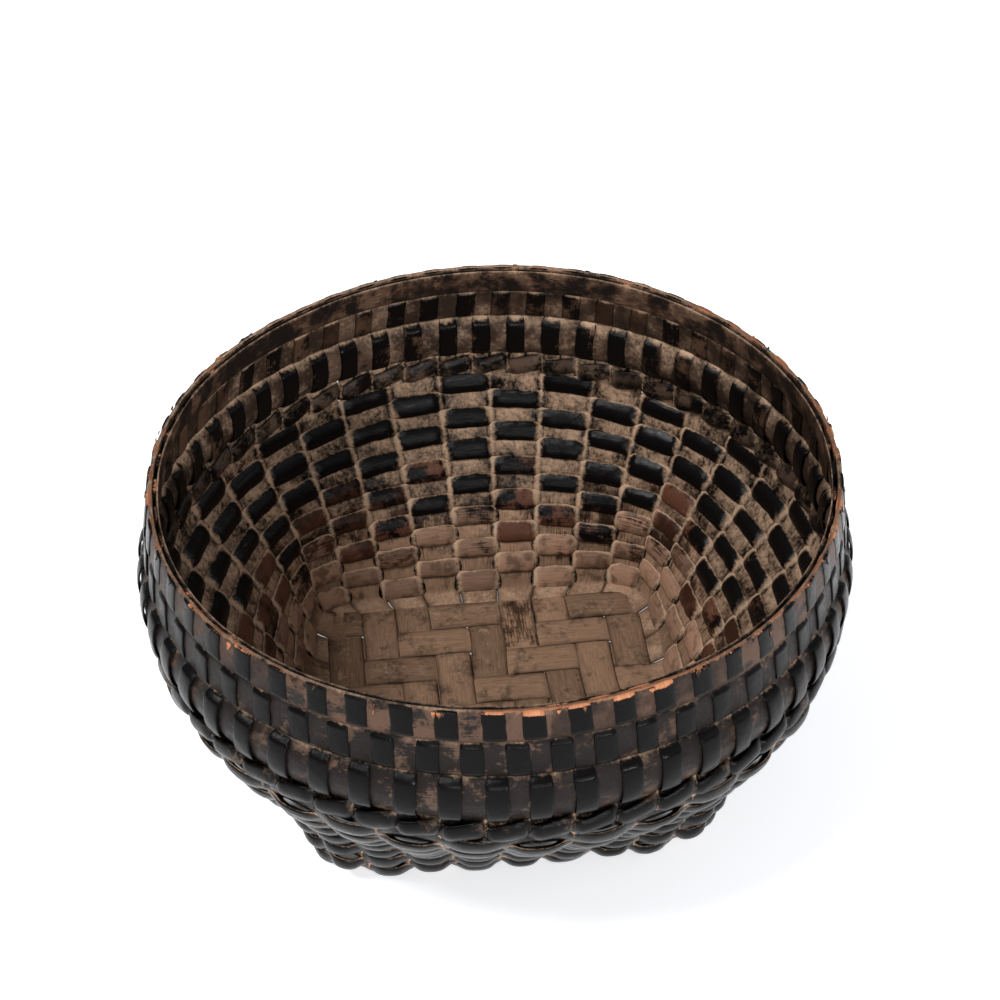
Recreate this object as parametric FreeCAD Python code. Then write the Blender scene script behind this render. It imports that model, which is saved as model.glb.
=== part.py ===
import FreeCAD, Part
import math
import os

V = FreeCAD.Vector

# Sizes of the basket, all in millimetres unless a line says otherwise.
rim_radius = 170.0          # outside of the rim
basket_height = 184.0       # floor underside to the top of the rim
bulge_radius = 174.0        # middle of the wall at its widest ring
bulge_height = 116.0        # height of that widest ring
strips_per_side = 9         # wide strips across the floor, each way
strip_pitch = 20.0          # centre to centre of the floor strips
strip_fill = 0.875          # share of the pitch a floor strip covers
strip_fill_top = 0.924      # the same share where a strip splits into tongues
tongues_per_end = 3         # every strip end is slit into this many tongues
slit_share = 0.077          # width of one slit as a share of the strip pitch
strip_thickness = 1.2
weaver_thickness = 1.4
hoop_thickness = 1.8        # flat hoops under the rim
bead_thickness = 7.2        # the fat hoop, at its middle
twine_thickness = 1.6
twine_height = 6.6          # one of the two twined strands
rim_row = 16.0              # wall length taken by the rim hoop
hoop_row = 19.5             # by the flat hoop below it
bead_row = 27.0             # by the fat hoop
twine_row = 14.5            # by the twined pair
weaver_count = 13           # narrow weavers between the floor and the twined pair
row_gap = 2.4               # clear height between neighbouring rows
lie_gap = 0.1               # between strips that lie on one another
fold_gap = 0.4              # under a tongue folded over the rim hoop
floor_edge_run = 7.0        # floor strips leave the floor over this length
corner_draw = 0.06          # how far the corners are drawn in, as a share of the half width
corner_run = 14.0           # wall length over which that happens
strand_turns = 54           # bights of the twined pair round the basket
hoop_steps = 8              # control points across the height of a hoop

base_half = strips_per_side * strip_pitch / 2
floor_mid = 1.5 * strip_thickness + lie_gap
tongue_radius = rim_radius - hoop_thickness / 2 - strip_thickness - lie_gap
stakes = 4 * strips_per_side
strip_step = strip_thickness + lie_gap
weaver_step = strip_thickness / 2 + lie_gap + weaver_thickness / 2
hoop_step = strip_thickness / 2 + lie_gap + hoop_thickness / 2
twine_step = strip_thickness / 2 + 2 * lie_gap + twine_thickness / 2

# Control points of the wall's outline. Up to the widest ring: share of that ring's
# height, share of the flare. Above it: share of the height left, share of the narrowing.
flare = [(0.0, 0.065), (0.095, 0.155), (0.31, 0.365), (0.55, 0.635), (0.775, 0.9)]
shoulder_run = 10.0         # the widest ring stays upright this far up and down
neck_rise, neck_share = 0.66, 0.35


def wall_outline():
    """Half section of the wall's middle surface, from the floor's edge to the rim."""
    rim_top = basket_height - strip_thickness - fold_gap
    rise, spread = bulge_height - floor_mid, bulge_radius - base_half
    points = [V(base_half, 0, floor_mid)]
    points += [V(base_half + out * spread, 0, floor_mid + up * rise) for up, out in flare]
    points.append(V(bulge_radius, 0, bulge_height - shoulder_run))
    points.append(V(bulge_radius, 0, bulge_height + shoulder_run))
    points.append(V(bulge_radius - neck_share * (bulge_radius - tongue_radius), 0,
                    bulge_height + neck_rise * (rim_top - bulge_height)))
    points.append(V(tongue_radius, 0, rim_top))
    curve = Part.BSplineCurve()
    curve.buildFromPoles(points, False, 2)
    return curve


outline = wall_outline()
wall_length = outline.length()
weave_top = wall_length - rim_row - hoop_row - bead_row - twine_row
weaver_pitch = (weave_top - floor_edge_run) / weaver_count
split_at = weave_top + row_gap / 4


def meridian(along):
    """Radius, height and upward direction of the wall at a length from the floor's edge."""
    inside = min(max(along, 0.0), wall_length)
    at = outline.parameterAtDistance(inside)
    point, way = outline.value(at), outline.tangent(at)[0]
    point = point + way * (along - inside)
    return point, way


def roundness(height):
    """0 where the wall is square, 1 where it is round."""
    rise = min(max((height - floor_mid) / (0.6 * basket_height), 0.0), 1.0)
    return 1 - (1 - rise) ** 1.8


def wall_point(side, place, along):
    """A point on the wall's middle surface; place counts strips from the middle of a side."""
    corners = math.floor(place / strips_per_side + 0.5)
    side, place = side + corners, place - corners * strips_per_side
    point, _ = meridian(along)
    turn = math.radians(90.0 / strips_per_side) * place
    start = min(max(along / corner_run, 0.0), 1.0)
    drawn_in = corner_draw * start ** 2 * (3 - 2 * start) * abs(2 * place / strips_per_side) ** 6
    flat = V(place * strip_pitch / base_half, -1, 0) * (point.x * (1 - drawn_in))
    ring = V(point.x * math.sin(turn), -point.x * math.cos(turn), 0)
    mix = roundness(point.z)
    spot = flat * (1 - mix) + ring * mix + V(0, 0, point.z)
    return FreeCAD.Rotation(V(0, 0, 1), 90.0 * side).multVec(spot)


def half_width(along):
    """Half the share of the pitch that a strip covers at this height of the wall."""
    rise = min(max(along / split_at, 0.0), 1.0)
    return (strip_fill + (strip_fill_top - strip_fill) * rise) / 2


def chord(side, place, along):
    """Left and right edge of a strip, with the outward direction of its face."""
    half = half_width(along)
    left, right = wall_point(side, place - half, along), wall_point(side, place + half, along)
    above = wall_point(side, place, along + (0.5 if along > 0 else 0.0))
    below = wall_point(side, place, along - 0.5)
    out = (right - left).cross(above - below)
    return left, right, out.normalize()


def weaver_band(row):
    """Lower and upper edge of a weaver, as lengths up the wall."""
    low = floor_edge_run + row * weaver_pitch + row_gap / 2
    return low, low + weaver_pitch - row_gap


def cell(side, place, row):
    """Where a weaver crosses a strip: the flat patch that both lie along."""
    low, high = weaver_band(row)
    left_low, right_low, _ = chord(side, place, low)
    left_high, right_high, _ = chord(side, place, high)
    _, _, out = chord(side, place, (low + high) / 2)
    return left_low, right_low, left_high, right_high, out


cells = {}
for side in range(4):
    for number in range(strips_per_side):
        for row in range(weaver_count):
            place = number - (strips_per_side - 1) / 2
            cells[side, number, row] = cell(side, place, row)


# A ribbon is a list of sections; each section has four corners in the order
# inner left, inner right, outer right, outer left.

def section(left, right, out, middle, thickness):
    inner, outer = out * (middle - thickness / 2), out * (middle + thickness / 2)
    return [left + inner, right + inner, right + outer, left + outer]


def spline_face(edge_a, edge_b):
    """A smooth face between two edges given by their control points."""
    spans = len(edge_a) - 2
    knots = [i / spans for i in range(spans + 1)]
    face = Part.BSplineSurface()
    face.buildFromPolesMultsKnots([[a, b] for a, b in zip(edge_a, edge_b)],
                                  [3] + [1] * (spans - 1) + [3], [2, 2], knots, [0.0, 1.0],
                                  False, False, 2, 1)
    return face.toShape()


def flat_face(corners):
    return Part.Face(Part.makePolygon(corners + corners[:1]))


def ribbon_faces(sections, lanes=(0.0, 1.0)):
    """The four long sides of a ribbon; lanes divide its two broad sides."""
    faces = []
    for near, far in ((0, 1), (3, 2)):
        rails = [[s[near] + (s[far] - s[near]) * lane for s in sections] for lane in lanes]
        faces += [spline_face(a, b) for a, b in zip(rails, rails[1:])]
    for low, high in ((0, 3), (1, 2)):
        faces.append(spline_face([s[low] for s in sections], [s[high] for s in sections]))
    return faces


def close_up(faces):
    """One closed solid from faces that meet along their edges."""
    shell = Part.makeCompound(faces)
    shell.sewShape(1e-4)
    solid = Part.makeSolid(Part.Shell(shell.Faces))
    if solid.Volume < 0:
        solid.reverse()
    return solid


def mid(a, b, share):
    return a + (b - a) * share


# Wide strips. Lanes across a strip: tongue, slit, tongue, slit, tongue.
tongue_share = (strip_fill_top - (tongues_per_end - 1) * slit_share) / tongues_per_end
lanes = [0.0]
for number in range(tongues_per_end):
    lanes.append(lanes[-1] + tongue_share / strip_fill_top)
    if number < tongues_per_end - 1:
        lanes.append(lanes[-1] + slit_share / strip_fill_top)


def wall_sections(side, number):
    """A wide strip's sections from the floor's edge up to where its tongues part."""
    place = number - (strips_per_side - 1) / 2
    sections = []
    for along in (0.0, 2.5, 5.0):
        left, right, out = chord(side, place, along)
        sections.append(section(left, right, out, 0, strip_thickness))
    for row in range(weaver_count):
        left_low, right_low, left_high, right_high, out = cells[side, number, row]
        low, high = weaver_band(row)
        reach = 0.2 * row_gap / (high - low)
        for share in (-reach, 0.0, 1.0, 1 + reach):
            left, right = mid(left_low, left_high, share), mid(right_low, right_high, share)
            sections.append(section(left, right, out, 0, strip_thickness))
    left, right, out = chord(side, place, split_at)
    sections.append(section(left, right, out, 0, strip_thickness))
    return sections


def swell(share, edge, middle):
    """Half thickness of a hoop part of the way across its height."""
    return edge + (middle - edge) * math.sqrt(max(0.0, 1 - (2 * share - 1) ** 2))


def row_offsets():
    """How far a tongue stands off the wall's middle surface, row by row to the rim.

    Each entry is a length up the wall and an offset for tongues that pass outside the
    fat hoop first; the others take the opposite sign.
    """
    steps = [(split_at + row_gap / 2, 0.0), (weave_top + twine_row / 2, 0.0),
             (weave_top + twine_row, 0.0)]
    start = weave_top + twine_row
    way = 1
    for height, middle in ((bead_row, bead_thickness / 2), (hoop_row, hoop_thickness / 2),
                           (rim_row, hoop_thickness / 2)):
        low, high = start + row_gap / 2, start + height - row_gap / 2
        lie = way * (lie_gap + strip_thickness / 2)
        edge = way * hoop_thickness / 2
        steps.append((low - 0.2 * row_gap, edge + lie))
        for index in range(hoop_steps + 1):
            share = index / hoop_steps
            stand = way * swell(share, hoop_thickness / 2, middle)
            steps.append((low + (high - low) * share, stand + lie))
        if height != rim_row:
            steps.append((high + 0.2 * row_gap, edge + lie))
        start += height
        way = -way
    return steps


tongue_steps = row_offsets()


def tongue_sections(side, number, tongue, start):
    """One tongue from the end of its slit to its tip at the rim."""
    place = number - (strips_per_side - 1) / 2 + (tongue - (tongues_per_end - 1) / 2) / tongues_per_end
    way = 1 if (side * strips_per_side * tongues_per_end + number * tongues_per_end + tongue) % 2 else -1
    sections = [start]
    for along, offset in tongue_steps:
        left = wall_point(side, place - tongue_share / 2, along)
        right = wall_point(side, place + tongue_share / 2, along)
        up = wall_point(side, place, along + 0.5) - wall_point(side, place, along - 0.5)
        out = (right - left).cross(up).normalize()
        sections.append(section(left, right, out, way * offset, strip_thickness))
    up.normalize()
    left, right = left + up * (row_gap / 2), right + up * (row_gap / 2)
    stand = hoop_step - strip_thickness / 2
    if offset * way > 0:
        # Outside the rim hoop: over its top edge and down to its inner face.
        lift = up * fold_gap
        top = lift + up * strip_thickness
        sections.append([left + out * stand + lift, right + out * stand + lift,
                         right + out * (stand + strip_thickness) + top,
                         left + out * (stand + strip_thickness) + top])
        for reach in (0.3, -hoop_thickness / 2):
            sections.append([left + out * reach + lift, right + out * reach + lift,
                             right + out * reach + top, left + out * reach + top])
    else:
        sections.append(section(left, right, out, way * offset, strip_thickness))
    return sections


def end_faces(side, number):
    """Everything of a wide strip above the floor's edge, open only at that edge."""
    low = wall_sections(side, number)
    faces = ribbon_faces(low, lanes)
    top = low[-1]
    for tongue in range(tongues_per_end):
        a, b = lanes[2 * tongue], lanes[2 * tongue + 1]
        start = [mid(top[0], top[1], a), mid(top[0], top[1], b),
                 mid(top[3], top[2], b), mid(top[3], top[2], a)]
        sections = tongue_sections(side, number, tongue, start)
        faces += ribbon_faces(sections)
        faces.append(flat_face(sections[-1]))
        if tongue < tongues_per_end - 1:
            c = lanes[2 * tongue + 2]
            faces.append(flat_face([mid(top[0], top[1], b), mid(top[0], top[1], c),
                                    mid(top[3], top[2], c), mid(top[3], top[2], b)]))
    return faces


def floor_faces(left, right, levels):
    """The floor part of a strip; levels lists lengths from the middle with mid heights."""
    faces = []
    across = [left + (right - left) * lane for lane in lanes]
    for lift in (-strip_thickness / 2, strip_thickness / 2):
        for index, ((y0, z0), (y1, z1)) in enumerate(zip(levels, levels[1:])):
            near = across if index == 0 else [left, right]
            far = across if index == len(levels) - 2 else [left, right]
            faces.append(flat_face([V(x, y0, z0 + lift) for x in near]
                                   + [V(x, y1, z1 + lift) for x in reversed(far)]))
    for x in (left, right):
        rim = [V(x, y, z - strip_thickness / 2) for y, z in levels]
        rim += [V(x, y, z + strip_thickness / 2) for y, z in reversed(levels)]
        faces.append(flat_face(rim))
    return faces


def floor_levels(number, weaves):
    """Heights of a strip along the floor: straight, or over and under in twos."""
    if not weaves:
        return [(-base_half, floor_mid), (base_half, floor_mid)]
    half = strip_fill * strip_pitch / 2
    levels = [(-base_half, floor_mid)]
    for other in range(strips_per_side):
        centre = (other - (strips_per_side - 1) / 2) * strip_pitch
        height = floor_mid + (strip_step if (other + number) % 4 < 2 else -strip_step)
        for spot in (centre - half, centre + half):
            levels.append((spot, height))
    levels.append((base_half, floor_mid))
    kept = levels[:1]
    for here, after in zip(levels[1:], levels[2:]):
        if not here[1] == kept[-1][1] == after[1]:
            kept.append(here)
    return kept + levels[-1:]


def wide_strip(number, turned):
    """One strip from rim to rim through the floor. Turned strips cross the others."""
    near_side, far_side = (1, 3) if turned else (0, 2)
    place = number - (strips_per_side - 1) / 2
    levels = floor_levels(number, turned)
    half = strip_fill * strip_pitch / 2
    floor = floor_faces(place * strip_pitch - half, place * strip_pitch + half, levels)
    if turned:
        floor = [face.rotated(V(0, 0, 0), V(0, 0, 1), 90) for face in floor]
    faces = floor + end_faces(near_side, number)
    faces += end_faces(far_side, strips_per_side - 1 - number)
    return close_up(faces)


# Weavers: narrow bands that pass in front of one strip and behind the next.

def weaver(row):
    """One weaver, once round the basket; its two ends butt behind a strip."""
    sections = []
    for index in range(stakes + 1):
        side, number = divmod(index % stakes, strips_per_side)
        left_low, right_low, left_high, right_high, out = cells[side, number, row]
        way = 1 if (index + row) % 2 else -1
        if index == 0:
            shares = (0.51, 0.9, 1.0, 1.04)
        elif index == stakes:
            shares = (-0.04, 0.0, 0.1, 0.49)
        else:
            shares = (-0.02, 0.0, 1.0, 1.02)
        for share in shares:
            low, high = mid(left_low, right_low, share), mid(left_high, right_high, share)
            sections.append(section(low, high, out, way * weaver_step, weaver_thickness))
    faces = ribbon_faces(sections)
    return close_up(faces + [flat_face(sections[0]), flat_face(sections[-1])])


# Twined pair: each strand climbs outside two tongues and drops behind the next two.

def strand(phase):
    sections = []
    step = 4.0 * strips_per_side / strand_turns
    rise = twine_height / 2 + lie_gap
    centre = weave_top + twine_row / 2
    first = -strips_per_side / 2 + step / 2 - step
    gap = slit_share / 2
    for index in range(strand_turns + 1):
        way = 1 if (index + phase) % 2 else -1
        spots = [gap * 0.85, gap, gap * 1.3]
        spots += [gap + (step - 2 * gap) * share for share in (0.25, 0.5, 0.75)]
        spots += [step - gap * 1.3, step - gap, step - gap * 0.85]
        if index == 0:
            spots = [step / 2 + 0.002] + spots[5:]
        elif index == strand_turns:
            spots = spots[:4] + [step / 2 - 0.002]
        for spot in spots:
            tilt = max(-1.0, min(1.0, (2 * spot - step) / (step - 2 * gap)))
            along = centre + way * rise * tilt
            place = first + step * index + spot
            low = wall_point(0, place, along - twine_height / 2)
            high = wall_point(0, place, along + twine_height / 2)
            aside = wall_point(0, place + 0.05, along) - wall_point(0, place - 0.05, along)
            out = aside.cross(high - low).normalize()
            sections.append(section(low, high, out, way * twine_step, twine_thickness))
    faces = ribbon_faces(sections)
    return close_up(faces + [flat_face(sections[0]), flat_face(sections[-1])])


# Hoops: full rings turned from a section that follows the wall.

def hoop(low, high, middle, edge, offset=0.0):
    inner, outer = [], []
    for index in range(hoop_steps + 1):
        share = index / hoop_steps
        point, way = meridian(low + (high - low) * share)
        out = V(way.z, 0, -way.x)
        inner.append(point + out * (offset - swell(share, edge, middle)))
        outer.append(point + out * (offset + swell(share, edge, middle)))
    profile = []
    for rail in (inner, outer):
        curve = Part.BSplineCurve()
        curve.buildFromPoles(rail, False, 2)
        profile.append(curve.toShape())
    profile.append(Part.makeLine(inner[0], outer[0]))
    profile.append(Part.makeLine(inner[-1], outer[-1]))
    face = Part.Face(Part.Wire(Part.__sortEdges__(profile)))
    return face.revolve(V(0, 0, 0), V(0, 0, 1), 360)


def band(start, height):
    return start + row_gap / 2, start + height - row_gap / 2


parts = {}
for number in range(strips_per_side):
    parts["length_strip_%d" % (number + 1)] = wide_strip(number, False)
    parts["cross_strip_%d" % (number + 1)] = wide_strip(number, True)
for row in range(weaver_count):
    parts["weaver_%02d" % (row + 1)] = weaver(row)
parts["twined_strand_1"] = strand(0)
parts["twined_strand_2"] = strand(1)

bead_start = weave_top + twine_row
flat_half = hoop_thickness / 2
low, high = band(bead_start, bead_row)
parts["bead_hoop"] = hoop(low, high, bead_thickness / 2, flat_half)
low, high = band(bead_start + bead_row, hoop_row)
parts["wall_hoop"] = hoop(low, high, flat_half, flat_half)
low, high = band(bead_start + bead_row + hoop_row, rim_row)
parts["rim_core_hoop"] = hoop(low, wall_length, flat_half, flat_half)
inner_offset = -(flat_half + strip_thickness * 1.5 + 2 * lie_gap + 0.05)
parts["inner_rim_hoop"] = hoop(low, wall_length, strip_thickness / 2, strip_thickness / 2,
                               inner_offset)

os.makedirs("parts", exist_ok=True)
for name, solid in parts.items():
    solid.exportStep("parts/%s.step" % name)
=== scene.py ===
import math

import bmesh
import bpy
import numpy as np
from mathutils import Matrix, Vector


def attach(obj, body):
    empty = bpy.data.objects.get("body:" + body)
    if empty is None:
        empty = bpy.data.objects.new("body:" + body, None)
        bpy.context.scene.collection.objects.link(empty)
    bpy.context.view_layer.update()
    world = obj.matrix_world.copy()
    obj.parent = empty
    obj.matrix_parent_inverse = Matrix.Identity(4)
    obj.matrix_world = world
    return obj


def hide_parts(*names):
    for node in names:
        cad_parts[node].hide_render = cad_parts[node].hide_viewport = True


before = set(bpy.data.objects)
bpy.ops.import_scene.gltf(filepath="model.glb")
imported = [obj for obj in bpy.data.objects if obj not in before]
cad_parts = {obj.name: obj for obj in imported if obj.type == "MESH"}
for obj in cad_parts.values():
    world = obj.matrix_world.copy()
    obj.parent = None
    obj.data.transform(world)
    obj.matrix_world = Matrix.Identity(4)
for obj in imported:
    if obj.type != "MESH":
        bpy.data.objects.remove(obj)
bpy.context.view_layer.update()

# %% [markdown]
# # An old lacquered fruit basket
# The basket is plaited, not carved or moulded: every piece is a thin band of split bamboo
# that follows a path over and under its neighbours. Wide strips cross on the floor, turn
# up into the wall and are slit into three narrow tongues near the top. Narrow weavers run
# round the wall, a twined pair locks them, and stiff hoops carry the rim.
# One idea therefore makes all of it: describe the wall once as a surface, draw each
# piece's path on it, and let one Geometry Nodes tree lay a band along that path.

# %% Sizes, in metres
strips_per_side = 9
strip_pitch = 0.020
base_half = strips_per_side * strip_pitch / 2
strip_thickness = 0.0012
weaver_thickness = 0.0014
strand_thickness = 0.0016
hoop_thickness = 0.0018
bead_thickness = 0.0072
basket_height = 0.184
rim_radius = 0.170
bulge_radius = 0.174
bulge_height = 0.116
rim_row, hoop_row, bead_row, twine_row = 0.016, 0.0195, 0.027, 0.0145
weaver_count = 13
row_gap = 0.0024
floor_edge_run = 0.007
stakes = 4 * strips_per_side
floor_mid = 1.5 * strip_thickness + 0.0001
fold_gap = 0.0004
tongue_radius = rim_radius - hoop_thickness / 2 - strip_thickness - 0.0001
rng = np.random.default_rng(19)

# %% [markdown]
# ## The wall as a surface
# Any point of the wall is named by two numbers: how many strips round from the first one,
# and how far up from the floor's edge. The cross-section starts as the floor's square and
# becomes a circle on the way up. The side view is a smooth curve through a few control
# points. With this one function, pieces made in different cells still meet exactly.

# %% The outline of the wall
def outline_curve():
    """The wall's half section as a dense line, with its length from the floor's edge."""
    flare = [(0.0, 0.065), (0.095, 0.155), (0.31, 0.365), (0.55, 0.635), (0.775, 0.9)]
    rim_top = basket_height - strip_thickness - fold_gap
    poles = [(base_half, floor_mid)]
    poles += [(base_half + out * (bulge_radius - base_half),
               floor_mid + up * (bulge_height - floor_mid)) for up, out in flare]
    poles += [(bulge_radius, bulge_height - 0.01), (bulge_radius, bulge_height + 0.01),
              (bulge_radius - 0.35 * (bulge_radius - tongue_radius),
               bulge_height + 0.66 * (rim_top - bulge_height)), (tongue_radius, rim_top)]
    poles = np.array(poles)
    ends = np.vstack([poles[:1], (poles[1:-2] + poles[2:-1]) / 2, poles[-1:]])
    t = np.linspace(0, 1, 80, endpoint=False)[:, None]
    arcs = [(1 - t) ** 2 * a + 2 * t * (1 - t) * b + t * t * c
            for a, b, c in zip(ends, poles[1:-1], ends[1:])]
    line = np.vstack(arcs + [poles[-1:]])
    length = np.r_[0, np.cumsum(np.hypot(*np.diff(line, axis=0).T))]
    return line, length


outline, outline_length = outline_curve()
wall_length = outline_length[-1]
weave_top = wall_length - rim_row - hoop_row - bead_row - twine_row
weaver_pitch = (weave_top - floor_edge_run) / weaver_count
split_at = weave_top + row_gap / 4
print("wall length %.1f mm, weavers every %.2f mm" % (wall_length * 1e3, weaver_pitch * 1e3))


# %% Small helpers
def smooth(x):
    """0 below 0, 1 above 1, and a soft step between."""
    x = np.clip(x, 0, 1)
    return x * x * (3 - 2 * x)


def unit(vectors):
    return vectors / np.maximum(np.linalg.norm(vectors, axis=-1, keepdims=True), 1e-12)


print("smooth at a quarter:", smooth(0.25))


# %% How the old basket has lost its true shape
sag_share = 0.8
foot_swell, foot_start, foot_end = 0.035, 0.006, 0.07


def out_of_round(x, y):
    """How far the old rim has sagged out of a true circle, as a share of the radius."""
    angle = (np.degrees(np.arctan2(y, x)) + 360) % 360
    knots = [13, 63, 95, 123, 153, 175, 215, 254, 284, 338]
    sag = [0.003, 0.016, 0.0, -0.018, 0.004, 0.010, 0.026, -0.004, -0.022, -0.014]
    return np.interp(angle, knots, sag, period=360)


def stretched(x, y, along, height):
    """How much wider the wall is than a true one: it sags above and swells at the foot."""
    sag = 1 + out_of_round(x, y) * smooth(height / basket_height) * sag_share
    return sag + foot_swell * smooth(along / foot_start) * (1 - smooth(along / foot_end))


print("sag on the left: %.4f" % out_of_round(-1, 0))


# %% Any point on the wall
corner_draw, corner_run = 0.07, 0.007
square_share, square_fade = 0.6, 1.8


def section_at(along):
    """Radius and height a given length up the wall, straight on past both ends."""
    inside = np.clip(along, 0, wall_length)
    radius = np.interp(inside, outline_length, outline[:, 0])
    height = np.interp(inside, outline_length, outline[:, 1])
    past = along - inside
    radius = radius + np.where(past < 0, past, past * -0.17)
    return radius, height + np.where(past > 0, past, 0)


def wall(place, along):
    """A point of the wall's middle surface; place counts strips round the basket."""
    place, along = np.broadcast_arrays(np.asarray(place, float), np.asarray(along, float))
    radius, height = section_at(along)
    side = np.floor((place + 0.5) / strips_per_side)
    local = place - side * strips_per_side - (strips_per_side - 1) / 2
    drawn = corner_draw * np.abs(2 * local / strips_per_side) ** 6
    flat = radius * (1 - drawn)
    beside = radius * (1 - drawn * smooth(along / corner_run))
    risen = np.clip((height - floor_mid) / (square_share * basket_height), 0, 1)
    mix = 1 - (1 - risen) ** square_fade
    turn = np.radians(90 / strips_per_side) * local
    x = beside * local * strip_pitch / base_half * (1 - mix) + radius * np.sin(turn) * mix
    y = -flat * (1 - mix) - radius * np.cos(turn) * mix
    cos, sin = np.cos(side * np.pi / 2), np.sin(side * np.pi / 2)
    x, y = x * cos - y * sin, x * sin + y * cos
    wide = stretched(x, y, along, height)
    return np.stack([x * wide, y * wide, height], -1)


def outward(place, along):
    """The direction straight out of the basket at a point of the wall."""
    round_way = wall(place + 0.03, along) - wall(place - 0.03, along)
    up_way = wall(place, along + 0.0008) - wall(place, along - 0.0008)
    return unit(np.cross(round_way, up_way))


print("rim point", wall(4, wall_length).round(4), "faces", outward(4, wall_length).round(3))


# %% [markdown]
# ## A band laid along a path
# A sweep needs to know, at each point of the path, where the middle of the band is, which
# way is sideways and how far, and which way is out. Those are stored on the path's points
# as named attributes. The tree turns the path into a curve, sweeps a rounded profile along
# it to get the faces, then puts every corner exactly where the attributes say. A little
# noise along the grain gives the dents and ridges of hand-split bamboo.
# Extra numbers ride along on the same points for the finishes: worn, dust and so on.

# %% Node helpers
def add(tree, kind, inputs=(), **settings):
    """Add a node, set its fields, and link or set its inputs."""
    node = tree.nodes.new(kind)
    for field, value in settings.items():
        setattr(node, field, value)
    for key, value in dict(inputs).items():
        socket = node.inputs[key]
        if isinstance(value, bpy.types.NodeSocket):
            tree.links.new(value, socket)
        else:
            socket.default_value = value
    return node


def sums(tree, operation, *values):
    return add(tree, "ShaderNodeMath", enumerate(values), operation=operation).outputs[0]


def plus(tree, first, *others):
    """Add two or more values up."""
    for other in others:
        first = sums(tree, "ADD", first, other)
    return first


def minus(tree, first, second):
    return sums(tree, "SUBTRACT", first, second)


def times(tree, first, second):
    return sums(tree, "MULTIPLY", first, second)


def larger(tree, first, second):
    return sums(tree, "MAXIMUM", first, second)


print("node helpers:", [f.__name__ for f in (add, sums, plus, minus, times, larger)])


# %% The band's rounded profile
def stadium(tree, corners):
    """A ring that knows how far across (-1 to 1) and through (-1 to 1) each corner is."""
    ring = add(tree, "GeometryNodeCurvePrimitiveCircle", {"Resolution": corners,
                                                          "Radius": 0.001})
    index = tree.nodes.new("GeometryNodeInputIndex").outputs[0]
    angle = sums(tree, "DIVIDE", times(tree, index, 2 * math.pi), corners)
    profile = ring.outputs["Curve"]
    for name, trig, squareness in (("across", "COSINE", 0.75), ("through", "SINE", 0.5)):
        wave = sums(tree, trig, angle)
        size = sums(tree, "POWER", sums(tree, "ABSOLUTE", wave), squareness)
        profile = add(tree, "GeometryNodeStoreNamedAttribute",
                      {"Geometry": profile, "Name": name,
                       "Value": times(tree, size, sums(tree, "SIGN", wave))},
                      data_type="FLOAT", domain="POINT").outputs[0]
    return profile


print("the profile is made inside the tree, by", stadium.__name__)


# %% The tree that lays a band
def band_tree():
    tree = bpy.data.node_groups.new("Lay a band", "GeometryNodeTree")
    face = tree.interface
    face.new_socket("Path", in_out="INPUT", socket_type="NodeSocketGeometry")
    for name, kind in (("Corners", "Int"), ("Thickness", "Float"), ("Crown", "Float"),
                       ("Ridges", "Float"), ("Seed", "Float"), ("Finish", "Material")):
        face.new_socket(name, in_out="INPUT", socket_type="NodeSocket" + kind)
    face.new_socket("Band", in_out="OUTPUT", socket_type="NodeSocketGeometry")
    given = tree.nodes.new("NodeGroupInput").outputs

    def named(name, kind="FLOAT"):
        node = add(tree, "GeometryNodeInputNamedAttribute", {"Name": name}, data_type=kind)
        return node.outputs["Attribute"]

    def moved(start, way, how_far):
        step = add(tree, "ShaderNodeVectorMath", {0: named(way, "FLOAT_VECTOR"),
                                                  "Scale": how_far}, operation="SCALE")
        return add(tree, "ShaderNodeVectorMath", {0: start, 1: step.outputs[0]},
                   operation="ADD").outputs[0]

    line = add(tree, "GeometryNodeMeshToCurve", {0: given["Path"]}).outputs[0]
    swept = add(tree, "GeometryNodeCurveToMesh",
                {"Curve": line, "Profile Curve": stadium(tree, given["Corners"]),
                 "Fill Caps": True}).outputs[0]

    # Ridges: noise stretched along the grain, different on the two faces.
    across, through = named("across"), named("through")
    grain = add(tree, "ShaderNodeCombineXYZ",
                {0: times(tree, named("along"), 90.0), 1: times(tree, across, 3.2),
                 2: plus(tree, given["Seed"], times(tree, through, 0.6))})
    noise = add(tree, "ShaderNodeTexNoise", {"Vector": grain.outputs[0], "Scale": 1.0,
                                             "Detail": 2.0}, noise_dimensions="3D")
    ridge = times(tree, minus(tree, noise.outputs["Fac"], 0.5), given["Ridges"])

    # Half the thickness here: thicker in the middle by the crown.
    bow = minus(tree, 1.0, times(tree, across, across))
    half = plus(tree, times(tree, given["Thickness"], 0.5), times(tree, bow, given["Crown"]))
    half = times(tree, half, named("thick"))
    stand = plus(tree, times(tree, through, half), ridge)
    spot = moved(named("mid", "FLOAT_VECTOR"), "aside", across)
    spot = moved(spot, "out", stand)
    placed = add(tree, "GeometryNodeSetPosition", {"Geometry": swept, "Position": spot})
    soft = add(tree, "GeometryNodeSetShadeSmooth", {"Geometry": placed.outputs[0]})
    whole = add(tree, "GeometryNodeRealizeInstances", {"Geometry": soft.outputs[0]})
    dressed = add(tree, "GeometryNodeSetMaterial", {"Geometry": whole.outputs[0],
                                                    "Material": given["Finish"]})
    tree.links.new(dressed.outputs[0], tree.nodes.new("NodeGroupOutput").inputs[0])
    return tree


lay_a_band = band_tree()
print("band tree:", len(lay_a_band.nodes), "nodes")

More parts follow.
